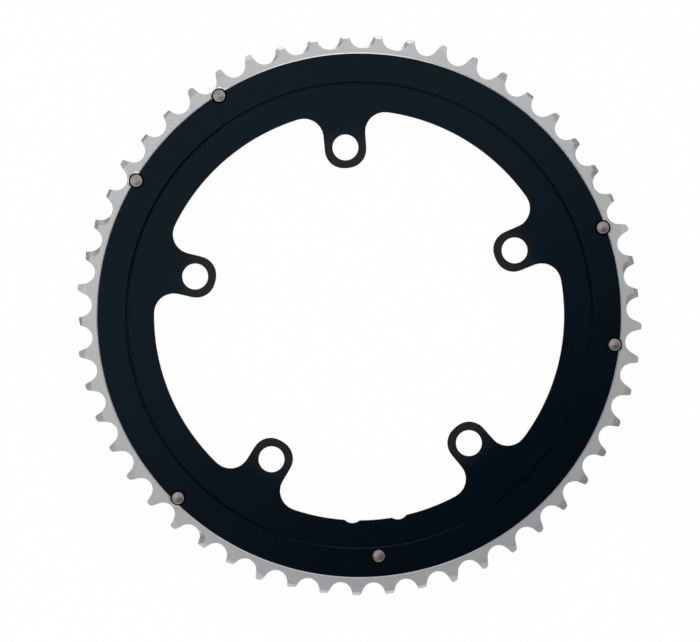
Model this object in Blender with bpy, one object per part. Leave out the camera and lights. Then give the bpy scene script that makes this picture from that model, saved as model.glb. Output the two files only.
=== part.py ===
# A 53-tooth outer chainring for a five-arm crank with a 130 mm bolt circle.
#
# The ring lies flat with its axis on Z. +Z is the side that faces the bicycle's frame, where
# the shift pins stand, and -Z is the outboard side. +Y passes through one bolt hole, +X through
# the middle of one tooth, and -Y is the line of the crank arm. Z = 0 is the middle plane of the
# teeth. Lengths are in metres.

import math

import bmesh
import bpy
from mathutils import Matrix, Vector

# Chain and teeth
chain_pitch = 0.0127
roller_diameter = 0.00775
seat_relief = 0.00016           # gap floor below a seated roller
seat_play = 0.000575            # round floor of the gap, wider than the roller
tooth_count = 53
tooth_thickness = 0.0021
drive_flank_angle = math.radians(16.4)
back_flank_angle = math.radians(24.7)

# Tips of the tall teeth, and of the teeth cut down for shifting. The shares give the radius
# that rounds each corner of a tip, as a share of the tip's width.
tall_tip_height = 0.00195       # tip above the pitch circle
tall_drive_round_share = 0.30
tall_back_round_share = 0.55
cut_tip_height = 0.00080
cut_drive_round_share = 0.13
cut_back_round_share = 0.165
slant_angle = math.radians(10)  # a slanted tip is lower on its back side
tip_margin = 0.0003             # bevel carried on beyond the tip

# Bevels that narrow the tips, on the rear side and on the outboard side
tall_bevel_width = 0.0028
tall_bevel_angle = math.radians(15)
cut_bevel_width = 0.0011
ramped_bevel_width = 0.0017
cut_bevel_angle = math.radians(32)
outboard_bevel_width = 0.0016
outboard_bevel_angle = math.radians(15)

# Ring body, from the floor of the gaps inwards
rear_land_width = 0.0022        # bare land between the gaps and the raised band
band_width = 0.01075
band_height = 0.00095           # band above the rear face of the teeth
band_bevel_width = 0.00045
web_width = 0.0111              # from the band's inner edge to the window
recess_depth = 0.0008           # web below the band, where the crank's arms bear
recess_fillet = 0.0006
outboard_land_width = 0.00575
outboard_land_depth = 0.00115   # land below the outboard face
outboard_land_bevel = 0.0007

# Tabs and bolt holes
bolt_count = 5
bolt_circle_radius = 0.065
bolt_hole_radius = 0.005
bolt_head_radius = 0.0061
bolt_head_depth = 0.0012
tab_half_width = 0.00807
tab_nose_length = 0.0080        # nose beyond the middle of the bolt hole
nose_flat_width = 0.00154
tab_fillet_radius = 0.0075

# Two scallops that mark the line of the crank arm
scallop_radius = 0.0042
scallop_depth = 0.0011
scallop_angle = math.radians(6.6)

# Shift pins and the pin that keeps a dropped chain off the crank arm
pin_head_radius = 0.00246
pin_head_height = 0.0009
pin_crown_height = 0.0002       # shallow cone on top of the head
pin_shank_radius = 0.0015
pin_clearance = 0.0003
boss_margin = 0.0005            # boss round the pin's head
boss_step = 0.0001              # boss above the band
boss_root_depth = 0.0006        # boss carried down into the land
outer_pin_inset = 0.0006        # pin's middle inwards of the band's outer edge
middle_pin_inset = 0.0011
inner_pin_inset = 0.0018
catch_pin_margin = 0.0028       # pin's middle outwards of the band's inner edge
catch_peg_radius = 0.0025
catch_peg_length = 0.0042
catch_peg_round = 0.0009

# Shift ramps are shallow cones sunk into a tooth's rear face from the gap beside it.
# The offset is across the tooth, and the height is above the pitch circle.
hook_ramp_radius = 0.00345
hook_ramp_offset = 0.0033
hook_ramp_height = -0.0007
hook_ramp_angle = math.radians(29)
long_ramp_radius = 0.0054
long_ramp_offset = 0.0052
long_ramp_height = 0.0008
long_ramp_angle = math.radians(18)
back_ramp_radius = 0.0047
back_ramp_offset = 0.0052
back_ramp_height = 0.0004
back_ramp_angle = math.radians(20)
ramp_lip = 0.0001               # cone carried on above the face

# What every cutting tool reaches beyond the metal, and points that count as one
overrun = 0.0010
merge_distance = 0.00001

# Teeth are counted counter-clockwise from the one on +X, seen from the rear side
level_cut_teeth = (0, 1, 3, 4, 5, 7, 11, 12, 13, 14, 15, 19, 20, 22, 34, 39, 40, 41)
slant_cut_teeth = (23, 24, 26, 35, 37, 38)
hook_ramp_teeth = (0, 1, 23, 24, 34)
long_ramp_teeth = (4, 5)
back_ramp_teeth = (11, 12, 13, 14, 15)

# Each shift pin's place in the count of teeth, and its inset
shift_pins = (
    (2.23, middle_pin_inset),
    (17.35, outer_pin_inset),
    (21.23, outer_pin_inset),
    (32.47, inner_pin_inset),
    (51.35, inner_pin_inset),
)

# How finely curves are divided
section_shares = (-0.3, -0.1, 0.1, 0.3)     # sections of one tooth, in tooth steps
seat_steps = 4
round_steps = 2
lobe_steps = 24
corner_steps = 6
hole_steps = 40
scallop_steps = 32
ramp_steps = 24
pin_steps = 24

# Sizes that follow from the ones above
quarter_turn = math.pi / 2
flat_angle = math.radians(0.1)
smooth_angle = math.radians(30)
tooth_step = 2 * math.pi / tooth_count
bolt_step = 2 * math.pi / bolt_count
bolt_line = quarter_turn
arm_line = -quarter_turn
pitch_radius = chain_pitch / (2 * math.sin(tooth_step / 2))
root_radius = pitch_radius - roller_diameter / 2 - seat_relief
seat_radius = roller_diameter / 2 + seat_play
band_radius = root_radius - rear_land_width
recess_radius = band_radius - band_width
window_radius = recess_radius - web_width
shoulder_radius = root_radius - outboard_land_width
tall_tip_radius = pitch_radius + tall_tip_height
cut_tip_radius = pitch_radius + cut_tip_height
rim_radius = tall_tip_radius + overrun
rear_face = tooth_thickness / 2
outboard_tooth_face = -rear_face
band_top = rear_face + band_height
recess_floor = band_top - recess_depth
outboard_face = outboard_tooth_face - outboard_land_depth
boss_top = band_top + boss_step
tool_top = boss_top + overrun
tool_bottom = outboard_face - overrun
nose_radius = bolt_circle_radius - tab_nose_length
nose_corner_radius = tab_half_width - nose_flat_width / 2
bore_radius = nose_radius - overrun
boss_radius = pin_head_radius + boss_margin
pin_hole_radius = pin_shank_radius + pin_clearance


def clear_scene():
    for leftover in list(bpy.data.objects):
        bpy.data.objects.remove(leftover, do_unlink=True)


def make_material(name, colour, roughness, metallic):
    material = bpy.data.materials.new(name)
    material.use_nodes = True
    shader = material.node_tree.nodes['Principled BSDF']
    shader.inputs['Base Color'].default_value = (*colour, 1)
    shader.inputs['Roughness'].default_value = roughness
    shader.inputs['Metallic'].default_value = metallic
    material.diffuse_color = (*colour, 1)
    return material


def polar(radius, angle):
    return Vector((radius * math.cos(angle), radius * math.sin(angle)))


def turned_by(point, angle):
    return Matrix.Rotation(angle, 2) @ point


def arc(centre, radius, start, end, steps):
    """Points along an arc, both ends included."""
    return [
        centre + polar(radius, start + (end - start) * step / steps)
        for step in range(steps + 1)
    ]


def round_corner(before, corner, after, radius, steps):
    """Points of the arc that rounds the corner between two straight runs."""
    into = (before - corner).normalized()
    out = (after - corner).normalized()
    half = into.angle(out) / 2
    centre = corner + (into + out).normalized() * (radius / math.sin(half))
    start = corner + into * (radius / math.tan(half)) - centre
    end = corner + out * (radius / math.tan(half)) - centre
    clockwise = start.angle_signed(end)
    return [centre + turned_by(start, -clockwise * step / steps) for step in range(steps + 1)]


def crossing(point, direction, other_point, other_direction):
    """Where two lines meet."""
    reach = (other_point - point).cross(other_direction) / direction.cross(other_direction)
    return point + direction * reach


def tip_shape(number):
    """Tip radius, shares of the drive and back roundings, and slope of one tooth's tip."""
    if number in slant_cut_teeth:
        return cut_tip_radius, cut_drive_round_share, cut_back_round_share, slant_angle
    if number in level_cut_teeth:
        return cut_tip_radius, cut_drive_round_share, cut_back_round_share, 0
    return tall_tip_radius, tall_drive_round_share, tall_back_round_share, 0


def rear_bevel(number):
    """Width and angle of one tooth's rear bevel."""
    if number in hook_ramp_teeth + long_ramp_teeth:
        return ramped_bevel_width, cut_bevel_angle
    if number in level_cut_teeth + slant_cut_teeth:
        return cut_bevel_width, cut_bevel_angle
    return tall_bevel_width, tall_bevel_angle


def half_gap(side, flank_angle):
    """Floor of half a gap, from its middle to the flank, and the flank's direction.

    The tooth points along +X. Its drive side is side -1, and its back is side 1.
    """
    gap_angle = side * tooth_step / 2
    floor = gap_angle + math.pi
    floor_end = floor + side * (quarter_turn - flank_angle)
    centre = polar(root_radius + seat_radius, gap_angle)
    points = arc(centre, seat_radius, floor, floor_end, seat_steps)
    return points, polar(1, gap_angle - side * flank_angle)


def tooth_outline(number):
    """One tooth with half a gap on either side, counter-clockwise."""
    tip_radius, drive_round_share, back_round_share, slope = tip_shape(number)
    drive_floor, drive_flank = half_gap(-1, drive_flank_angle)
    back_floor, back_flank = half_gap(1, back_flank_angle)
    tip = Vector((tip_radius, 0))
    tip_line = turned_by(Vector((0, 1)), slope)
    drive_corner = crossing(drive_floor[-1], drive_flank, tip, tip_line)
    back_corner = crossing(back_floor[-1], back_flank, tip, tip_line)
    tip_width = (back_corner - drive_corner).length
    drive_round = drive_round_share * tip_width
    back_round = back_round_share * tip_width
    points = drive_floor
    points += round_corner(drive_floor[-1], drive_corner, back_corner, drive_round, round_steps)
    points += round_corner(drive_corner, back_corner, back_floor[-1], back_round, round_steps)
    points += back_floor[:0:-1]
    return [turned_by(point, number * tooth_step) for point in points]


def tab_outline():
    """Window edge round one tab that points inwards on the +X side, and on to the next tab."""
    fillet_side = tab_half_width + tab_fillet_radius
    fillet_reach = math.sqrt((window_radius - tab_fillet_radius) ** 2 - fillet_side ** 2)
    fillet_angle = math.atan2(fillet_side, fillet_reach)
    corner_reach = nose_radius + nose_corner_radius
    corner_side = tab_half_width - nose_corner_radius
    points = arc(Vector((fillet_reach, -fillet_side)), tab_fillet_radius,
                 -fillet_angle, quarter_turn, corner_steps)
    points += arc(Vector((corner_reach, -corner_side)), nose_corner_radius,
                  -quarter_turn, -math.pi, corner_steps)
    points += arc(Vector((corner_reach, corner_side)), nose_corner_radius,
                  math.pi, quarter_turn, corner_steps)
    points += arc(Vector((fillet_reach, fillet_side)), tab_fillet_radius,
                  -quarter_turn, fillet_angle, corner_steps)
    points += arc(Vector((0, 0)), window_radius,
                  fillet_angle, bolt_step - fillet_angle, lobe_steps)[1:-1]
    return points


def window_outline():
    return [
        turned_by(point, bolt_line + bolt * bolt_step)
        for bolt in range(bolt_count)
        for point in tab_outline()
    ]


def blank_section(number):
    """Section of the blank at one tooth: rear side inwards, then outboard side outwards."""
    bevel_width, bevel_angle = rear_bevel(number)
    tip_radius = tip_shape(number)[0]
    rear_start = tip_radius - bevel_width
    rear_end = tip_radius + tip_margin
    rim_height = rear_face - (rear_end - rear_start) * math.tan(bevel_angle)
    outboard_start = tall_tip_radius - outboard_bevel_width
    outboard_drop = (rim_radius - outboard_start) * math.tan(outboard_bevel_angle)
    fillet_centre = Vector((recess_radius - recess_fillet, recess_floor + recess_fillet))
    return [
        (rim_radius, rim_height),
        (rear_end, rim_height),
        (rear_start, rear_face),
        (band_radius + band_bevel_width, rear_face),
        (band_radius, band_top),
        (recess_radius, band_top),
        *arc(fillet_centre, recess_fillet, 0, -quarter_turn, round_steps),
        (bore_radius, recess_floor),
        (bore_radius, outboard_face),
        (shoulder_radius, outboard_face),
        (shoulder_radius + outboard_land_bevel, outboard_tooth_face),
        (outboard_start, outboard_tooth_face),
        (rim_radius, outboard_tooth_face + outboard_drop),
    ]


def add_object(name, shape, materials):
    mesh = bpy.data.meshes.new(name)
    bmesh.ops.recalc_face_normals(shape, faces=shape.faces)
    shape.to_mesh(mesh)
    shape.free()
    for material in materials:
        mesh.materials.append(material)
    made = bpy.data.objects.new(name, mesh)
    bpy.context.scene.collection.objects.link(made)
    return made


def turned_blank(name, materials):
    """The blank, lofted round the axis. Its lands are bare metal."""
    shape = bmesh.new()
    rings = []
    for number in range(tooth_count):
        for share in section_shares:
            angle = (number + share) * tooth_step
            rings.append([
                shape.verts.new((*polar(radius, angle), height))
                for radius, height in blank_section(number)
            ])
    land_start = min(band_radius, shoulder_radius) - overrun
    for ring, following in zip(rings, rings[1:] + rings[:1]):
        for index, vertex in enumerate(ring):
            corners = (ring[index - 1], vertex, following[index], following[index - 1])
            face = shape.faces.new(corners)
            inner = min(corner.co.to_2d().length for corner in corners)
            face.material_index = int(inner > land_start)
    return add_object(name, shape, materials)


def add_prism(shape, outline, low, high):
    """Adds an upright prism to a shape."""
    floor = shape.faces.new([shape.verts.new((*point, low)) for point in outline])
    grown = bmesh.ops.extrude_face_region(shape, geom=[floor])
    lifted = [part for part in grown['geom'] if isinstance(part, bmesh.types.BMVert)]
    bmesh.ops.translate(shape, verts=lifted, vec=(0, 0, high - low))


def add_turned(shape, centre, profile, steps):
    """Adds a body spun about an upright axis. Its profile starts and ends on that axis."""
    line = [shape.verts.new((centre.x + radius, centre.y, height)) for radius, height in profile]
    edges = [shape.edges.new(pair) for pair in zip(line, line[1:])]
    bmesh.ops.spin(shape, geom=line + edges, cent=(*centre, 0), axis=(0, 0, 1),
                   angle=2 * math.pi, steps=steps, use_merge=True)
    bmesh.ops.remove_doubles(shape, verts=shape.verts, dist=merge_distance)


def add_cylinder(shape, centre, radius, low, high, steps):
    place = Matrix.Translation((*centre, (low + high) / 2))
    bmesh.ops.create_cone(shape, cap_ends=True, segments=steps, radius1=radius,
                          radius2=radius, depth=high - low, matrix=place)


def pin_places():
    """Where the shift pins stand."""
    return [polar(band_radius - inset, place * tooth_step) for place, inset in shift_pins]


def catch_pin_place():
    return polar(recess_radius + catch_pin_margin, arm_line)


def boss_tool(materials):
    """A boss for each shift pin, with the band's edge bevel round it in bare metal."""
    shape = bmesh.new()
    foot = rear_face - boss_root_depth
    foot_radius = boss_radius + band_bevel_width * (boss_top - foot) / band_height
    profile = ((0, foot), (foot_radius, foot), (boss_radius, boss_top), (0, boss_top))
    for place in pin_places():
        add_turned(shape, place, profile, pin_steps)
    for face in shape.faces:
        lowest = min(corner.co.z for corner in face.verts)
        face.material_index = int(lowest < rear_face)
    return add_object('boss_tool', shape, materials)


def tooth_tool(materials):
    """The toothed outline. What lies outside it is cut away."""
    shape = bmesh.new()
    outline = [point for number in range(tooth_count) for point in tooth_outline(number)]
    add_prism(shape, outline, tool_bottom, tool_top)
    return add_object('tooth_tool', shape, materials)


def window_tool(materials):
    shape = bmesh.new()
    add_prism(shape, window_outline(), tool_bottom, tool_top)
    return add_object('window_tool', shape, materials)


def hole_tool(materials):
    """Stepped bolt holes, the holes for all pins, and the scallops at the crank arm's line."""
    shape = bmesh.new()
    head_floor = outboard_face + bolt_head_depth
    bolt_profile = (
        (0, tool_bottom),
        (bolt_head_radius, tool_bottom),
        (bolt_head_radius, head_floor),
        (bolt_hole_radius, head_floor),
        (bolt_hole_radius, tool_top),
        (0, tool_top),
    )
    for bolt in range(bolt_count):
        place = polar(bolt_circle_radius, bolt_line + bolt * bolt_step)
        add_turned(shape, place, bolt_profile, hole_steps)
    for place in pin_places() + [catch_pin_place()]:
        add_cylinder(shape, place, pin_hole_radius, tool_bottom, tool_top, pin_steps)
    scallop_reach = window_radius + scallop_depth - scallop_radius
    for side in (-1, 1):
        place = polar(scallop_reach, arm_line + side * scallop_angle)
        add_cylinder(shape, place, scallop_radius, tool_bottom, tool_top, scallop_steps)
    return add_object('hole_tool', shape, materials)


def add_ramp(shape, number, offset, height, radius, angle):
    """Adds the cone that sinks one ramp. A negative offset is on the drive side."""
    place = turned_by(Vector((pitch_radius + height, offset)), number * tooth_step)
    mouth = rear_face + ramp_lip
    mouth_radius = radius + ramp_lip / math.tan(angle)
    profile = (
        (0, rear_face - radius * math.tan(angle)),
        (mouth_radius, mouth),
        (mouth_radius, tool_top),
        (0, tool_top),
    )
    add_turned(shape, place, profile, ramp_steps)


def ramp_tool(materials):
    shape = bmesh.new()
    for number in hook_ramp_teeth:
        add_ramp(shape, number, -hook_ramp_offset, hook_ramp_height,
                 hook_ramp_radius, hook_ramp_angle)
    for number in long_ramp_teeth:
        add_ramp(shape, number, -long_ramp_offset, long_ramp_height,
                 long_ramp_radius, long_ramp_angle)
    for number in back_ramp_teeth:
        add_ramp(shape, number, back_ramp_offset, back_ramp_height,
                 back_ramp_radius, back_ramp_angle)
    return add_object('ramp_tool', shape, materials)


def merge_flats(body):
    """Joins the facets that lie in one plane."""
    flats = body.modifiers.new('merge_flats', 'DECIMATE')
    flats.decimate_type = 'DISSOLVE'
    flats.angle_limit = flat_angle
    flats.delimit = {'MATERIAL'}


def merge_points(body):
    """Joins the points that two machining steps leave in one place."""
    points = body.modifiers.new('merge_points', 'WELD')
    points.merge_threshold = merge_distance


def machine(blank, operation, tool):
    """Adds one machining step to the blank and hides its tool."""
    step = blank.modifiers.new(tool.name, 'BOOLEAN')
    step.operation = operation
    step.solver = 'EXACT'
    step.object = tool
    tool.hide_render = True
    tool.display_type = 'WIRE'
    tool.parent = blank


def chainring(black, bare):
    """The one-piece ring: turned, then toothed, opened, drilled and ramped."""
    ring = turned_blank('chainring', (black, bare))
    merge_flats(ring)
    machine(ring, 'UNION', boss_tool((black, bare)))
    machine(ring, 'INTERSECT', tooth_tool((bare,)))
    machine(ring, 'DIFFERENCE', window_tool((black,)))
    machine(ring, 'DIFFERENCE', hole_tool((black,)))
    machine(ring, 'DIFFERENCE', ramp_tool((bare,)))
    merge_points(ring)
    return ring


def pin_head(seat):
    """Upper end of every pin, from its shank up. The head rests on the seat."""
    head_foot = seat + pin_clearance
    head_top = head_foot + pin_head_height
    return [
        (pin_shank_radius, head_foot),
        (pin_head_radius, head_foot),
        (pin_head_radius, head_top),
        (0, head_top + pin_crown_height),
    ]


def add_pin(name, profile, place, ring, steel):
    """A pin turned at the origin, then set in its place on the ring."""
    shape = bmesh.new()
    add_turned(shape, Vector((0, 0)), profile, pin_steps)
    pin = add_object(name, shape, (steel,))
    pin.data.shade_smooth()
    pin.data.set_sharp_from_angle(angle=smooth_angle)
    pin.location = (*place, 0)
    pin.parent = ring


def shift_pin_profile():
    """A riveted pin: its end is flush with the outboard face of the teeth."""
    return [
        (0, outboard_tooth_face),
        (pin_shank_radius, outboard_tooth_face),
        *pin_head(boss_top),
    ]


def catch_pin_profile():
    """The pin behind the crank arm has a round-ended peg on the outboard side."""
    peg_seat = outboard_face - pin_clearance
    peg_end = peg_seat - catch_peg_length
    round_centre = Vector((catch_peg_radius - catch_peg_round, peg_end + catch_peg_round))
    return [
        (0, peg_end),
        *arc(round_centre, catch_peg_round, -quarter_turn, 0, round_steps),
        (catch_peg_radius, peg_seat),
        (pin_shank_radius, peg_seat),
        *pin_head(band_top),
    ]


def add_pins(ring, steel):
    for number, place in enumerate(pin_places(), start=1):
        add_pin('shift_pin_%d' % number, shift_pin_profile(), place, ring, steel)
    add_pin('catch_pin', catch_pin_profile(), catch_pin_place(), ring, steel)


clear_scene()
black_anodised = make_material('black_anodised_alloy', (0.012, 0.017, 0.022), 0.42, 0.4)
bare_alloy = make_material('machined_alloy', (0.42, 0.43, 0.44), 0.34, 1.0)
pin_steel = make_material('turned_steel', (0.24, 0.20, 0.20), 0.38, 1.0)
add_pins(chainring(black_anodised, bare_alloy), pin_steel)
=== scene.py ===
# %% [markdown]
# # A bicycle chainring
#
# This is the outer ring of a double crank: 53 teeth, five tabs for the crank's bolts, and six
# riveted pins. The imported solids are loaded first. They are the exact shape, and the cells below
# dress them: finer edges, turned pins, finishes, light and a camera.

# %% Load the solids
import math

import bmesh
import bpy
from mathutils import Matrix, Vector


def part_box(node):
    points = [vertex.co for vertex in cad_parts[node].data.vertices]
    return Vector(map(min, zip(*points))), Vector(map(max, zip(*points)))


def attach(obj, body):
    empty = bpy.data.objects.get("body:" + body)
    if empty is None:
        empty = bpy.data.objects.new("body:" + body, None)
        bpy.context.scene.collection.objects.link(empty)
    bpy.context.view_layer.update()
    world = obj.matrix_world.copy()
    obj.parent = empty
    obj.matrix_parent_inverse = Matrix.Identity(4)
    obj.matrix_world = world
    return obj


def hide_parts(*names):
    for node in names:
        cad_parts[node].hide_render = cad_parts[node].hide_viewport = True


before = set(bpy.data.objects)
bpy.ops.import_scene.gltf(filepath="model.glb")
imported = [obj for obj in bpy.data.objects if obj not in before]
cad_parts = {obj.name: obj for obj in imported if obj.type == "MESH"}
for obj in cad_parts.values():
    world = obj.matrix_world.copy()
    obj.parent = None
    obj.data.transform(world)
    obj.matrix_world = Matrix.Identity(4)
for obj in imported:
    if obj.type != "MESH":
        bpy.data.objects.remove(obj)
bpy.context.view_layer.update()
mm_per_m = 1000
print("solids:", ", ".join(sorted(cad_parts)))

# %% [markdown]
# ## The camera
#
# The photograph looks straight down the ring's axis. Its bolt line is turned 4.67 degrees
# counter-clockwise from straight up, so the camera is rolled the other way round the ring. The
# distance follows from the lens and from the 270 mm that the picture covers. A long lens keeps
# the walls of the far teeth from showing.

# %% Camera
picture_width_px = 700
picture_height_px = 642
scale_px_per_mm = 2.591
ring_centre_px = Vector((359.1, 315.33))
bolt_line_turn = math.radians(4.67)
lens_mm = 300
sensor_mm = 36


def across_picture(x_px, y_px):
    """A place in the plane of the teeth, from a pixel of the picture."""
    offset = Vector((x_px - ring_centre_px.x, ring_centre_px.y - y_px)) / scale_px_per_mm / mm_per_m
    return Matrix.Rotation(-bolt_line_turn, 2) @ offset


picture_width = picture_width_px / scale_px_per_mm / mm_per_m
camera_height = picture_width * lens_mm / sensor_mm
middle = across_picture(picture_width_px / 2, picture_height_px / 2)
camera_data = bpy.data.cameras.new("camera")
camera_data.lens = lens_mm
camera_data.sensor_width = sensor_mm
camera = bpy.data.objects.new("camera", camera_data)
camera.location = (middle.x, middle.y, camera_height)
camera.rotation_euler = (0, 0, -bolt_line_turn)
bpy.context.scene.collection.objects.link(camera)
bpy.context.scene.camera = camera
bpy.context.scene.view_settings.view_transform = "Standard"
print("camera height in mm:", round(mm_per_m * camera_height))

# %% [markdown]
# ## Working with operators
#
# A modelling operator acts on what is selected, so each step starts with nothing selected and
# one object active. Faces and edges are then picked in code, by where they lie or which way
# they face.


# %% Helpers for selecting
def only(piece):
    """Selects one object and makes it the active one."""
    bpy.ops.object.select_all(action="DESELECT")
    piece.select_set(True)
    bpy.context.view_layer.objects.active = piece


wall_slope = 0.7


def upright(face):
    """True for a wall or a steep slope, false for a face that lies flat or nearly so."""
    return abs(face.normal.z) < wall_slope


def pick_edges(piece, wanted):
    """Selects the edges between two faces that a test picks, in edit mode."""
    bpy.ops.mesh.select_all(action="DESELECT")
    shape = bmesh.from_edit_mesh(piece.data)
    picked = 0
    for edge in shape.edges:
        if len(edge.link_faces) == 2 and wanted(edge):
            edge.select_set(True)
            picked += 1
    bmesh.update_edit_mesh(piece.data)
    return picked


print("a wall leans by at least", round(math.degrees(math.acos(wall_slope))), "degrees")

# %% [markdown]
# ## The ring
#
# The solid is a mesh of loose triangles. Its copy is merged first, very short edges are closed
# up, and facets that lie in one plane are joined. The next cells then work on it like the maker
# on the real ring: they round the walls, chamfer the band and break the sharp edges. A machined
# edge is never perfectly sharp, and a fine bevel catches the light.

# %% Copy the ring
weld_distance = 0.00001
short_edge = 0.00009
same_plane = math.radians(0.4)
ring = bpy.data.objects.new("dressed_ring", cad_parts["chainring"].data.copy())
bpy.context.scene.collection.objects.link(ring)
only(ring)
bpy.ops.object.mode_set(mode="EDIT")
for distance in (weld_distance, short_edge):
    bpy.ops.mesh.select_all(action="SELECT")
    bpy.ops.mesh.remove_doubles(threshold=distance)
    bpy.ops.mesh.dissolve_limited(angle_limit=same_plane)
bpy.ops.object.mode_set(mode="OBJECT")
print("ring faces after merging:", len(ring.data.polygons))

# %% [markdown]
# The flats are now a few very large faces with hundreds of corners. Five cuts through the axis
# part them into sectors, which keeps the next steps sound. The cuts miss the pins.

# %% Cut the flats into sectors
sector_cuts = 5
first_cut = math.radians(30)
bpy.ops.object.mode_set(mode="EDIT")
for cut in range(sector_cuts):
    turn = first_cut + math.pi * cut / sector_cuts
    across = (-math.sin(turn), math.cos(turn), 0)
    bpy.ops.mesh.select_all(action="SELECT")
    bpy.ops.mesh.bisect(plane_co=(0, 0, 0), plane_no=across)
bpy.ops.object.mode_set(mode="OBJECT")
print("ring faces after cutting:", len(ring.data.polygons))

# %% [markdown]
# On the real ring a round cutter mills each gap, so its wall flows. The solid's walls are short
# flats side by side. A small bevel on each upright edge between two of them takes the corner
# off, and the outline looks round without a new wall. The edges are found by their direction
# and by the slight turn between the two flats.

# %% Round the upright edges of curved walls
least_corner = math.radians(2)
most_corner = math.radians(50)
least_wall = 0.0005
upright_share = 0.95
corner_percent = 30
corner_steps = 2


def between_flats(edge):
    """True for an upright edge between two short flats of one curved wall."""
    along = edge.verts[0].co - edge.verts[1].co
    straight_up = along.length > least_wall and abs(along.z) > upright_share * along.length
    walls = all(upright(face) for face in edge.link_faces)
    plain_ends = all(len(corner.link_edges) == 3 for corner in edge.verts)
    turns = least_corner < edge.calc_face_angle() < most_corner
    return walls and straight_up and plain_ends and turns


bpy.ops.object.mode_set(mode="EDIT")
corners = pick_edges(ring, between_flats)
bpy.ops.mesh.bevel(offset_type="PERCENT", offset_pct=corner_percent, segments=corner_steps)
bpy.ops.object.mode_set(mode="OBJECT")
print("upright corners rounded:", corners, "faces:", len(ring.data.polygons))

# %% [markdown]
# The band's outer edge is where the lathe tool came down to cut the land. It has a small
# chamfer that the black runs over. No other edge lies at its height and radius, so those two
# numbers pick it. The bosses interrupt it, and the chamfer stops short of them.

# %% Chamfer the band's edge
pin_nodes = [name for name in sorted(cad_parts) if name.startswith("shift_pin")]
pin_centres = [sum(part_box(name), Vector()).xy / 2 for name in pin_nodes]
band_chamfer = 0.00015
chamfer_steps = 3
band_edge_radius = 0.100955
band_edge_height = 0.002
near_edge = 0.00003
boss_clear = 0.0037


def on_band_edge(edge):
    """True for the outer edge of the raised band, away from the bosses."""
    middle = (edge.verts[0].co + edge.verts[1].co) / 2
    level = all(abs(corner.co.z - band_edge_height) < near_edge for corner in edge.verts)
    round_edge = all(
        abs(corner.co.xy.length - band_edge_radius) < near_edge for corner in edge.verts
    )
    clear = min((middle.xy - centre).length for centre in pin_centres) > boss_clear
    return level and round_edge and clear


bpy.ops.object.mode_set(mode="EDIT")
chamfered = pick_edges(ring, on_band_edge)
bpy.ops.mesh.bevel(offset=band_chamfer, segments=chamfer_steps, clamp_overlap=False)
bpy.ops.object.mode_set(mode="OBJECT")
print("band edges chamfered:", chamfered, "faces:", len(ring.data.polygons))

# %% [markdown]
# The other edges are broken when the ring is brushed: six hundredths of a millimetre, just
# enough for a thin line of light. The joint between a boss and the band is left out, because a
# bevel there would run into the boss's own.

# %% Break the sharp edges
edge_break = 0.00006
break_steps = 2
least_rim = math.radians(40)
boss_reach = 0.0034
boss_foot = 0.00205


def at_a_wall(edge):
    """True for an edge between a wall and a flat, but not where a boss meets the band."""
    first, second = edge.link_faces
    if upright(first) == upright(second) or edge.calc_face_angle() < least_rim:
        return False
    middle = (edge.verts[0].co + edge.verts[1].co) / 2
    near_boss = min((middle.xy - centre).length for centre in pin_centres) < boss_reach
    return not near_boss or middle.z > boss_foot or middle.z < 0


bpy.ops.object.mode_set(mode="EDIT")
rims = pick_edges(ring, at_a_wall)
bpy.ops.mesh.bevel(offset=edge_break, segments=break_steps, clamp_overlap=False)
bpy.ops.object.mode_set(mode="OBJECT")
print("edges broken:", rims, "faces:", len(ring.data.polygons))

# %% [markdown]
# Curved walls and broken edges are shaded smooth. Where a ramp or a tooth's bevel meets the
# land, the edge stays crisp, because a cutter leaves it so.

# %% Shade the ring
smooth_slope = math.radians(13)
smooth_wall = math.radians(50)
narrow_width = 0.0001


def narrow(face):
    """True for a strip left by breaking an edge."""
    return face.calc_area() < narrow_width * max(edge.calc_length() for edge in face.edges)


def flows(edge):
    """True where the surface runs on smoothly from one face to the next."""
    angle = edge.calc_face_angle()
    walls = all(upright(face) for face in edge.link_faces)
    strip = any(narrow(face) for face in edge.link_faces)
    return angle < smooth_slope or ((walls or strip) and angle < smooth_wall)


only(ring)
bpy.ops.object.shade_smooth()
bpy.ops.object.mode_set(mode="EDIT")
crisp = pick_edges(ring, lambda edge: not flows(edge))
bpy.ops.mesh.mark_sharp()
bpy.ops.object.mode_set(mode="OBJECT")
print("crisp edges:", crisp)

# %% [markdown]
# Smooth shading would bend the light at the rim of a flat face. Two modifiers guard the flats:
# one weights the shading by area, so the large faces stay flat. The other parts every face of
# five or more corners into triangles, so that it is filled alike wherever the ring is used.

# %% Keep the flats flat
corners_to_part = 5
weighted = ring.modifiers.new("flat faces stay flat", "WEIGHTED_NORMAL")
weighted.keep_sharp = True
bpy.ops.object.modifier_apply(modifier=weighted.name)
parted = ring.modifiers.new("large faces parted", "TRIANGULATE")
parted.min_vertices = corners_to_part
parted.keep_custom_normals = True
bpy.ops.object.modifier_apply(modifier=parted.name)
print("ring faces when done:", len(ring.data.polygons))

# %% [markdown]
# ## The pins
#
# Each pin is a steel rivet turned on a lathe: a shank, and a head with a low cone and fine
# tool rings. A lathe profile is followed by extruding a disc again and again, a step up and a
# new width each time. One shift pin is made and copied to the other four places.


# %% Turn a pin
pin_sides = 40


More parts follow.
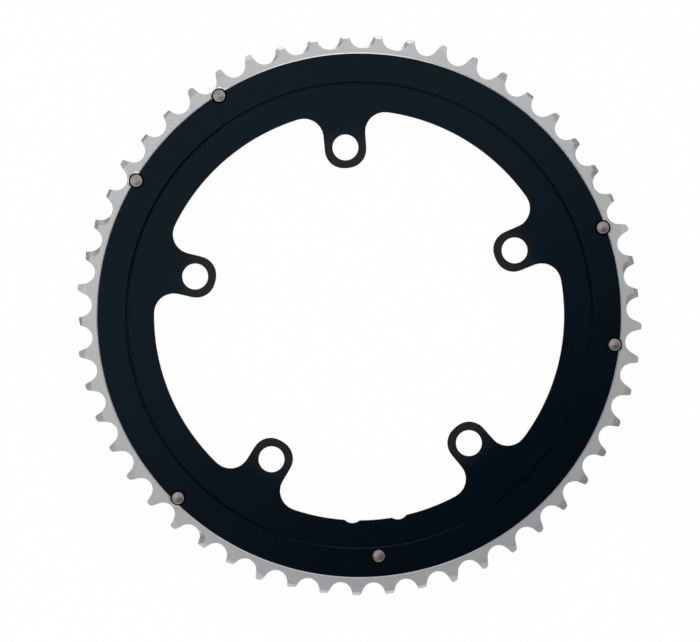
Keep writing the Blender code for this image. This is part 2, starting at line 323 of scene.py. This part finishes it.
def turned(name, profile, place):
    """A lathe-turned piece: a disc that is extruded from one profile point to the next."""
    (radius, height), *steps = profile
    bpy.ops.object.select_all(action="DESELECT")
    bpy.ops.mesh.primitive_circle_add(
        vertices=pin_sides, radius=radius, fill_type="NGON", location=(*place, height)
    )
    piece = bpy.context.object
    piece.name = name
    bpy.ops.object.mode_set(mode="EDIT")
    for next_radius, next_height in steps:
        ratio = next_radius / radius
        bpy.ops.mesh.extrude_region_move(
            TRANSFORM_OT_translate={"value": (0, 0, next_height - height)}
        )
        bpy.ops.transform.resize(
            value=(ratio, ratio, 1), center_override=(*place, next_height)
        )
        radius, height = next_radius, next_height
    bpy.ops.mesh.select_all(action="SELECT")
    bpy.ops.mesh.normals_make_consistent(inside=False)
    bpy.ops.object.mode_set(mode="OBJECT")
    bpy.ops.object.transform_apply(location=True)
    bpy.ops.object.shade_smooth_by_angle(angle=smooth_wall)
    return piece


print("sides of a turned pin:", pin_sides)

# %% [markdown]
# The head is wider than the shank and stands a little above its seat. Its rim is slightly
# rounded. The top is a low cone, and each tool ring on it is a shallow step down and up again.


# %% Profile of a pin's head
shank_radius = 0.0015
head_radius = 0.00238
head_height = 0.0009
crown_height = 0.0002
head_gap = 0.0003
head_corner = 0.0001
tool_ring_count = 5
tool_ring_depth = 0.00004


def head_profile(seat):
    """Radii and heights of a head that rests on a seat, with tool rings on its cone."""
    foot = seat + head_gap
    top = foot + head_height
    cone_radius = head_radius - head_corner
    points = [(shank_radius, foot), (cone_radius, foot)]
    points += [(head_radius, foot + head_corner), (head_radius, top - head_corner)]
    points += [(cone_radius, top)]
    for step in range(1, 2 * tool_ring_count):
        share = step / (2 * tool_ring_count)
        groove = tool_ring_depth if step % 2 else 0
        points.append((cone_radius * (1 - share), top + crown_height * share - groove))
    return points


def seat_below(top):
    """Height of the face below a head, from the tip of the head's cone."""
    return top - crown_height - head_height - head_gap


print("profile points of a head:", len(head_profile(0)))

# %% [markdown]
# The five shift pins are alike, so one is turned at its place and the rest are copies of it.
# Each copy has its own mesh, moved by the distance between the two pins' solids.

# %% Turn one shift pin
low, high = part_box(pin_nodes[0])
first_centre = (low + high) / 2
first_profile = [(shank_radius, low.z)] + head_profile(seat_below(high.z))
first_pin = turned(f"turned_{pin_nodes[0]}", first_profile, first_centre.xy)
pins = [(first_pin, pin_nodes[0])]
print("faces in a shift pin:", len(first_pin.data.polygons))

# %% Copy it to the other four places
for node in pin_nodes[1:]:
    low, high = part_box(node)
    only(first_pin)
    bpy.ops.object.duplicate(linked=False)
    bpy.ops.transform.translate(value=(low + high) / 2 - first_centre)
    bpy.ops.object.transform_apply(location=True)
    copy = bpy.context.object
    copy.name = f"turned_{node}"
    pins.append((copy, node))
print("shift pins:", ", ".join(pin.name for pin, node in pins))

# %% [markdown]
# The pin behind the crank arm is longer. Its round-ended peg stands out on the outboard side
# and keeps a dropped chain from jamming between the ring and the arm.

# %% Catch pin
peg_round = 0.0009
peg_round_steps = 6
peg_radius = 0.0025
peg_top = -0.0025
low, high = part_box("catch_pin")
centre = (low + high) / 2
peg_profile = []
for step in range(peg_round_steps + 1):
    turn = math.radians(90) * step / peg_round_steps
    radius = peg_radius - peg_round * (1 - math.sin(turn))
    peg_profile.append((radius, low.z + peg_round * (1 - math.cos(turn))))
peg_profile += [(peg_radius, peg_top), (shank_radius, peg_top)]
catch_profile = peg_profile + head_profile(seat_below(high.z))
catch_pin = turned("turned_catch_pin", catch_profile, centre.xy)
pins.append((catch_pin, "catch_pin"))
print("pins:", len(pins), "faces in the catch pin:", len(catch_pin.data.polygons))

# %% [markdown]
# ## Writing finishes
#
# A finish is a network of nodes. The class below wraps one socket, so that maths on a pattern
# is written as ordinary Python and each operator adds one Math node. Every other kind of node
# comes from one method. Colours need such nodes, because a Math node would turn them grey.


# %% Patterns as Python expressions
def make_node(tree, kind, settings, values, output=0):
    """Adds a node: its settings first, then its inputs as numbers, colours or other nodes."""
    node = tree.nodes.new(kind)
    for name, value in settings.items():
        setattr(node, name, value)
    for name, value in values.items():
        if isinstance(value, Pattern):
            tree.links.new(value.socket, node.inputs[name])
        else:
            node.inputs[name].default_value = value
    return Pattern(node.outputs[output])


# A Mix node has several sockets of one name, so its colours are picked by number.
colour_low, colour_high, colour_result = 6, 7, 2


class Pattern:
    """A value that changes over a surface. Maths on it adds nodes."""

    def __init__(self, socket):
        self.socket = socket

    def node(self, kind, settings, values, output=0):
        """Adds a node of any kind to the same network."""
        return make_node(self.socket.id_data, kind, settings, values, output)

    def maths(self, operation, *numbers):
        """Adds a Math node."""
        values = dict(enumerate(numbers))
        return self.node("ShaderNodeMath", {"operation": operation}, values)

    def __add__(self, other):
        return self.maths("ADD", self, other)

    def __radd__(self, other):
        return self.maths("ADD", other, self)

    def __sub__(self, other):
        return self.maths("SUBTRACT", self, other)

    def __rsub__(self, other):
        return self.maths("SUBTRACT", other, self)

    def __mul__(self, other):
        return self.maths("MULTIPLY", self, other)

    def __rmul__(self, other):
        return self.maths("MULTIPLY", other, self)

    def root(self):
        """The square root."""
        return self.maths("SQRT", self)

    def either(self, other):
        """The larger of two masks."""
        return self.maths("MAXIMUM", self, other)

    def step(self, start, end):
        """A mask that goes from 0 to 1 as the value goes from start to end."""
        settings = {"clamp": True, "interpolation_type": "SMOOTHSTEP"}
        values = {"Value": self, "From Min": start, "From Max": end}
        return self.node("ShaderNodeMapRange", settings, values)

    def below(self, start, end):
        """A mask that goes from 1 to 0 as the value goes from start to end."""
        return 1 - self.step(start, end)

    def blend(self, low, high):
        """Goes from one number to another as the mask goes from 0 to 1."""
        return self * (high - low) + low

    def mix(self, low, high):
        """Goes from one colour to another as the mask goes from 0 to 1."""
        values = {"Factor": self, colour_low: low, colour_high: high}
        return self.node("ShaderNodeMix", {"data_type": "RGBA"}, values, colour_result)


# %% [markdown]
# A new material starts with one shader, linked to its output. Patterns are fed into the
# shader's inputs. Where two surfaces meet on one piece, two shaders are mixed by a mask. A fine
# relief tilts the light without moving the surface, which is right for marks too shallow to
# model.


# %% Helpers for materials
def new_finish(name):
    """A material with its network and its shader, ready for patterns."""
    finish = bpy.data.materials.new(name)
    finish.use_nodes = True
    tree = finish.node_tree
    return finish, tree, tree.nodes["Principled BSDF"]


def feed(tree, shader, name, pattern):
    """Links a pattern into an input of the shader."""
    tree.links.new(pattern.socket, shader.inputs[name])


def show_either(tree, mask, first, second):
    """Shows one shader where the mask is 0 and another where it is 1."""
    mixed = tree.nodes.new("ShaderNodeMixShader")
    tree.links.new(mask.socket, mixed.inputs[0])
    tree.links.new(first.outputs[0], mixed.inputs[1])
    tree.links.new(second.outputs[0], mixed.inputs[2])
    tree.links.new(mixed.outputs[0], tree.nodes["Material Output"].inputs[0])


def fine_relief(pattern, strength, depth):
    """Marks of a depth in metres, for a shader's Normal."""
    values = {"Strength": strength, "Distance": depth, "Height": pattern}
    return pattern.node("ShaderNodeBump", {}, values)


def dress(piece, finish):
    """Gives a piece one finish all over."""
    piece.data.materials.clear()
    piece.data.materials.append(finish)
    for face in piece.data.polygons:
        face.material_index = 0


# %% [markdown]
# Nearly all that varies on a turned piece depends on its distance from the axis and on its
# height. Tool lines are noise on the distance alone, which makes them rings. Patches and grain
# are noise on the place. A colour is made lighter and darker by such a pattern, never flat.


# %% Patterns of turned metal
line_crispness = 0.6
cloud_crispness = 0.55


def polar_patterns(tree, centre):
    """Place, distance from an upright axis, and height, in millimetres."""
    place = make_node(tree, "ShaderNodeTexCoord", {}, {}, "Object")
    shift = (-mm_per_m * centre.x, -mm_per_m * centre.y, 0)
    values = {"Vector": place, "Location": shift, "Scale": (mm_per_m, mm_per_m, mm_per_m)}
    local = make_node(tree, "ShaderNodeMapping", {}, values)
    parts = local.node("ShaderNodeSeparateXYZ", {}, {"Vector": local}).socket.node.outputs
    x, y, z = (Pattern(part) for part in parts)
    return local, (x * x + y * y).root(), z


def lines(distance, scale, detail):
    """Random concentric tool lines, from 0 to 1."""
    settings = {"noise_dimensions": "1D"}
    values = {"W": distance, "Scale": scale, "Detail": detail, "Roughness": line_crispness}
    return distance.node("ShaderNodeTexNoise", settings, values)


def cloud(place, scale, detail):
    """Soft random patches, from 0 to 1."""
    values = {"Vector": place, "Scale": scale, "Detail": detail, "Roughness": cloud_crispness}
    return place.node("ShaderNodeTexNoise", {}, values)


def shade(colour, share=1):
    """A colour made lighter or darker, as a socket takes it."""
    return (*(colour * share), 1)


def varied(pattern, colour, play):
    """A colour that a pattern makes darker and lighter by a share of itself."""
    return pattern.mix(shade(colour, 1 - play), shade(colour, 1 + play))


# %% [markdown]
# ## The ring's finish
#
# The whole blank is black anodised. The teeth and the land below them are turned and cut
# afterwards, so they are bare. The border is where the cutter stopped: at the edge of the band
# on this side, and at the shoulder on the other.
#
# Four places differ from the rest, and each holds painted light or shade. The steep walls at the
# foot of the band and of the bosses get a paler colour, a painted highlight. The rings round the
# pins are matt, and painted nearly black without reflection, as painted shade of the gap under each
# head. The corner of the recess gets a painted line of shade. The noses of the tabs are painted
# greyer, a painted reflection. They could be painted by hand, but the ring is turned, so masks on
# radius and height pick each place exactly.

# %% Where the ring is black or bare, and where shade and highlight are painted
band_radius_mm = 101
shoulder_radius_mm = 97.4
border_blur_mm = 0.04
middle_blur_mm = 0.1
above_land_mm = (1.07, 1.11)
above_band_mm = (2.01, 2.035)
# Painted shade: a dark line in the corner of the recess, at the foot of the band's wall, at this
# share.
recess_shade_starts_mm = (88.7, 89.6)
recess_shade_ends_mm = (89.9, 90.4)
recess_shade_share = 0.42
ring_finish, tree, coat = new_finish("anodised_and_bare_alloy")
place, distance, height = polar_patterns(tree, Vector((0, 0, 0)))
rear_side = height.step(-middle_blur_mm, middle_blur_mm)
border = rear_side.blend(shoulder_radius_mm, band_radius_mm)
inside = (distance - border).below(-border_blur_mm, border_blur_mm)
boss_top = height.step(*above_band_mm)
black = boss_top.either(inside)
recess_painted_shade = rear_side * distance.step(*recess_shade_starts_mm) * distance.below(*recess_shade_ends_mm)
# Painted shade: the boss tops round the pins go nearly black and mirror nothing, for the shadowed
# gap under each head. The recess corner goes part of the way.
painted_shade_mask = boss_top.either(recess_painted_shade * recess_shade_share)
# Painted highlight: the steep walls at the foot of the band and of the bosses turn pale.
wall_highlight_mask = height.step(*above_land_mm)
print("bare beyond", band_radius_mm, "mm on this side,", shoulder_radius_mm, "mm on the other")

# %% [markdown]
# Beside the shift pins, five teeth have a hook ramp: a hollow that lets the chain's outer plate
# sink in. A coarse cutter makes it after the ring is brushed, so its surface is rougher than the
# land's. Its colour is also darker, a painted shade for a lean steeper than the modelled cone. The
# photograph shows this on four of them. The fifth, at the lower left, keeps the land's look.
# Each hollow is part of a cone, so a round spot about the cone's middle picks it, and only what
# lies below the land counts.

# %% Where the hook ramps are dull and painted darker
tooth_count = 53
chain_pitch_mm = 12.7
pitch_radius_mm = chain_pitch_mm / (2 * math.sin(math.pi / tooth_count))
dull_ramp_teeth = (0, 1, 23, 24)
ramp_below_pitch_mm = 0.7
ramp_beside_tooth_mm = 3.3
ramp_middle_mm = Vector((pitch_radius_mm - ramp_below_pitch_mm, -ramp_beside_tooth_mm))
ramp_reach_mm = 3.5
ramp_blur_mm = 0.1
land_height_mm = 1.05
land_blur_mm = 0.04
above_outboard_mm = (-0.9, -0.8)
hollows = height * 0  # none yet
for number in dull_ramp_teeth:
    turn = Matrix.Rotation(2 * math.pi * number / tooth_count, 2)
    ends = {0: place, 1: (*(turn @ ramp_middle_mm), land_height_mm)}
    gap = place.node("ShaderNodeVectorMath", {"operation": "DISTANCE"}, ends, "Value")
    hollows = hollows.either(gap.below(ramp_reach_mm - ramp_blur_mm, ramp_reach_mm))
below_land = height.below(land_height_mm - land_blur_mm, land_height_mm)
ramps = hollows * height.step(*above_outboard_mm) * below_land
print("dull ramps:", len(dull_ramp_teeth), "pitch radius in mm:", round(pitch_radius_mm, 2))

# %% [markdown]
# The lathe leaves fine rings all over, and the land, which is only brushed, shows them most. The
# black has broad soft rings and patches, where the dye took unevenly, and a fine grain.

# %% Tool lines, patches and grain
fine_lines = lines(distance, scale=9, detail=3)
broad_lines = lines(distance, scale=1.3, detail=2)
patches = cloud(place, scale=0.05, detail=3)
grain = cloud(place, scale=6, detail=3)
broad_share = 0.3
patch_share = 0.5
line_share = 0.7
mottle = broad_lines * broad_share + patches * patch_share
brushing = fine_lines * line_share + patches * (1 - line_share)
print("nodes before the colours:", len(tree.nodes))

# %% [markdown]
# The black's own colour is very dark, because most of what it shows is the room that it
# mirrors. The web lies deeper and is a little bluer than the band.

# %% Colours of the ring
web_radius_mm = 90.2
web_blur_mm = 0.3
nose_mm = (61, 75)
black_colour = Vector((0.0003, 0.0026, 0.0062))
web_tint = Vector((0.6, 1.0, 1.08))
# Painted reflection: a grey on the noses of the tabs, for the pale room that their flats mirror.
nose_reflection_colour = Vector((0.0175, 0.0165, 0.0165))
# Painted shade: a near-black colour for the rings round the pins and for the recess corner.
painted_shade_colour = Vector((0.0016, 0.0016, 0.002))
bare_colour = Vector((0.55, 0.56, 0.565))
# Painted highlight: the pale colour of the steep walls.
wall_highlight_colour = Vector((0.9, 0.9, 0.9))
# Partly painted shade: the hook ramps are darker, for a lean steeper than the modelled cone.
ramp_shade_colour = Vector((0.46, 0.465, 0.475))
black_play = 0.2
bare_play = 0.1
on_web = distance.below(web_radius_mm - web_blur_mm, web_radius_mm + web_blur_mm)
band_tone = varied(mottle, black_colour, black_play)
web_tone = varied(mottle, black_colour * web_tint, black_play)
# Painted reflection on the noses of the tabs, between these radii.
on_nose = distance.below(*nose_mm)
black_and_nose_reflection_tone = on_nose.mix(on_web.mix(band_tone, web_tone), shade(nose_reflection_colour))
# Painted shade over the black, round the pins and in the recess corner.
black_tone = painted_shade_mask.mix(black_and_nose_reflection_tone, shade(painted_shade_colour))
bare_tone = varied(brushing, bare_colour, bare_play)
# Painted shade darkens the hook ramps. Their extra roughness, further down, is the real duller cut.
alloy_with_ramp_shade = ramps.mix(bare_tone, shade(ramp_shade_colour))
alloy_tone = wall_highlight_mask.mix(alloy_with_ramp_shade, shade(wall_highlight_colour))
print("nodes with the colours:", len(tree.nodes))

# %% [markdown]
# Black and bare are two shaders, mixed by a mask. The black is a thin film that mirrors little,
# with a bluish sheen. The alloy is plain metal, and the sheen would tint it, so it has its own
# shader.

# %% The black coat
coat_roughness = 0.19
boss_roughness = 0.5
patch_roughness = 0.04
sheen_level = 0.132
sheen_tint = (0.56, 0.88, 1, 1)
feed(tree, coat, "Base Color", black_tone)
# Painted shade also takes the black's reflection away, by turning it into a near-black metal.
feed(tree, coat, "Metallic", painted_shade_mask)
rough_coat = boss_top.blend(coat_roughness, boss_roughness) + patches * patch_roughness
feed(tree, coat, "Roughness", rough_coat)
coat.inputs["Specular IOR Level"].default_value = sheen_level
coat.inputs["Specular Tint"].default_value = sheen_tint
print("roughness of the black from", coat_roughness, "to", boss_roughness)

# %% The bare alloy
bare_roughness = 0.3
line_roughness = 0.12
ramp_roughness = 0.28
bare = tree.nodes.new("ShaderNodeBsdfPrincipled")
feed(tree, bare, "Base Color", alloy_tone)
bare.inputs["Metallic"].default_value = 1
rough_alloy = bare_roughness + fine_lines * line_roughness + ramps * ramp_roughness
feed(tree, bare, "Roughness", rough_alloy)
print("roughness of the alloy from", bare_roughness, "on the land")

# %% [markdown]
# The tool lines are cut into the alloy. The black film nearly levels them, so the relief is
# strong on the bare parts and faint on the black. It could be modelled, but lines two
# hundredths of a millimetre deep would need millions of faces. Both shaders share the relief,
# and the mask picks which of them shows.

# %% Relief, and black or bare
line_relief_bare, line_relief_black = 1.0, 0.05
grain_relief_bare, grain_relief_black = 0.2, 0.05
relief_strength = 0.25
relief_depth = 0.00002
line_relief = fine_lines * black.blend(line_relief_bare, line_relief_black)
grain_relief = grain * black.blend(grain_relief_bare, grain_relief_black)
bump = fine_relief(line_relief + grain_relief, relief_strength, relief_depth)
feed(tree, coat, "Normal", bump)
feed(tree, bare, "Normal", bump)
show_either(tree, black, bare, coat)
dress(ring, ring_finish)
print("nodes in the ring's finish:", len(tree.nodes))

# %% [markdown]
# ## The pins' finish
#
# The pins are plain steel off the lathe, a little darker and warmer than the alloy. The tool
# leaves rings round each pin's own axis, so each pin's pattern is centred on that pin.

# %% Pin finish
rosy_steel = Vector((0.27, 0.205, 0.22))
pale_steel = Vector((0.34, 0.315, 0.3))
spot_contrast = (0.35, 0.65)
spot_share = 0.7
pin_roughness = 0.22
ring_roughness = 0.1
ring_relief_strength = 0.5
ring_relief_depth = 0.00003
for pin, node in pins:
    low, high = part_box(node)
    pin_finish, tree, shader = new_finish(f"turned_steel_{node}")
    place, distance, height = polar_patterns(tree, (low + high) / 2)
    rings = lines(distance, scale=7, detail=2)
    spots = cloud(place, scale=0.6, detail=2).step(*spot_contrast)
    stains = rings * (1 - spot_share) + spots * spot_share
    tone = stains.mix(shade(rosy_steel), shade(pale_steel))
    feed(tree, shader, "Base Color", tone)
    shader.inputs["Metallic"].default_value = 1
    feed(tree, shader, "Roughness", pin_roughness + rings * ring_roughness)
    bump = fine_relief(rings, ring_relief_strength, ring_relief_depth)
    feed(tree, shader, "Normal", bump)
    dress(pin, pin_finish)
print("pin finishes:", len(pins), "with", len(tree.nodes), "nodes each")

# %% [markdown]
# ## The floor
#
# The ring lies on white paper. It rests on the catch pin's peg and on the far edge of its
# shoulder, so the paper is tilted to touch both, and the ring itself stays level.

# %% Floor
floor_size = 3
shoulder_y = 0.0974
shoulder_z = -0.0022
peg_low, peg_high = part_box("catch_pin")
peg_y = (peg_low.y + peg_high.y) / 2
floor_tilt = math.atan2(shoulder_z - peg_low.z, shoulder_y - peg_y)
bpy.ops.mesh.primitive_plane_add(
    size=floor_size, location=(0, peg_y, peg_low.z), rotation=(floor_tilt, 0, 0)
)
floor = bpy.context.object
floor.name = "floor"
print("tilt of the floor in degrees:", round(math.degrees(floor_tilt), 2))

# %% [markdown]
# Paper lit to a clean white would need so much light that the ring's own pale parts would burn
# out. So the paper has two shaders. The camera and the metal see nearly plain white, and the
# rest is a real surface, which keeps a faint shadow and throws soft light back.

# %% Paper
paper_dark = (0.78, 0.78, 0.78, 1)
paper_light = (0.82, 0.82, 0.82, 1)
paper_roughness = 0.9
white_share = 0.985
paper_finish, tree, paper = new_finish("white_paper")
paper_place = make_node(tree, "ShaderNodeTexCoord", {}, {}, "Object")
fibres = cloud(paper_place, scale=900, detail=2)
feed(tree, paper, "Base Color", fibres.mix(paper_dark, paper_light))
paper.inputs["Roughness"].default_value = paper_roughness
rays = make_node(tree, "ShaderNodeLightPath", {}, {}).socket.node.outputs
ray_names = ("Is Camera Ray", "Is Glossy Ray", "Is Transmission Ray")
seen, mirrored, passed = (Pattern(rays[name]) for name in ray_names)
looked_at = seen.either(mirrored).either(passed)
plain_white = make_node(tree, "ShaderNodeEmission", {}, {"Strength": 1.0}).socket.node
show_either(tree, looked_at * white_share, paper, plain_white)
dress(floor, paper_finish)
print("share of plain white in the paper:", white_share)

# %% [markdown]
# ## The light
#
# A flat face mirrors what hangs straight above it. One softbox hangs there, and its edge runs
# across the ring's axis, so the black fades from the upper left to the lower right. A bevel
# mirrors what stands at twice its tilt. Four softboxes stand round the ring at such angles, and
# each gives the tips on its side the brightness that they have in the photograph.


# %% Softboxes
def add_softbox(name, azimuth, lean, distance, depth, width, radiance):
    """A rectangular lamp that looks at the ring, placed round the picture and leaning out."""
    lamp_data = bpy.data.lights.new(name, "AREA")
    lamp_data.shape = "RECTANGLE"
    lamp_data.size = depth
    lamp_data.size_y = width
    lamp_data.energy = radiance * math.pi * depth * width
    lamp = bpy.data.objects.new(name, lamp_data)
    lamp.rotation_euler = (0, math.radians(lean), math.radians(azimuth) - bolt_line_turn)
    lamp.location = lamp.rotation_euler.to_matrix() @ Vector((0, 0, distance))
    bpy.context.scene.collection.objects.link(lamp)


# Azimuth and lean in degrees, then distance, depth and width in metres, then radiance.
softboxes = {
    "overhead_softbox": (122, 8.5, 1.5, 0.52, 1.25, 1.28),
    "top_softbox": (95, 54, 1.8, 1.5, 1.0, 2.3),
    "right_softbox": (14, 33, 1.8, 0.75, 0.95, 1.15),
    "left_softbox": (166, 36, 1.8, 0.9, 0.6, 1.25),
    "bottom_softbox": (260, 46, 1.8, 1.8, 2.1, 0.9),
}
for name, setting in softboxes.items():
    add_softbox(name, *setting)
print("softboxes:", len(softboxes))

# %% [markdown]
# The room is dark above and pale at the sides. Between two softboxes a tip mirrors the pale
# wall, which keeps it a soft grey, and the dark ceiling keeps the black deep.

# %% Room
ceiling_glow = 0.04
wall_glow = 0.45
wall_top = 0.35
ceiling_edge = 0.85
room_colour = (0.98, 0.98, 1, 1)
world = bpy.data.worlds.new("room")
bpy.context.scene.world = world
world.use_nodes = True
room_tree = world.node_tree
direction = make_node(room_tree, "ShaderNodeTexCoord", {}, {}, "Generated")
rise = direction.node("ShaderNodeSeparateXYZ", {}, {"Vector": direction}, "Z")
room_glow = rise.below(wall_top, ceiling_edge).blend(ceiling_glow, wall_glow)
room_tree.links.new(room_glow.socket, room_tree.nodes["Background"].inputs["Strength"])
room_tree.nodes["Background"].inputs["Color"].default_value = room_colour
print("glow of the room:", ceiling_glow, "above,", wall_glow, "at the walls")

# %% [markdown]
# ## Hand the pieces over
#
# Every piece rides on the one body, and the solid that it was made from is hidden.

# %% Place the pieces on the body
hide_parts("chainring")
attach(ring, "root")
for pin, node in pins:
    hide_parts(node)
    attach(pin, "root")
print("pieces handed over:", 1 + len(pins))
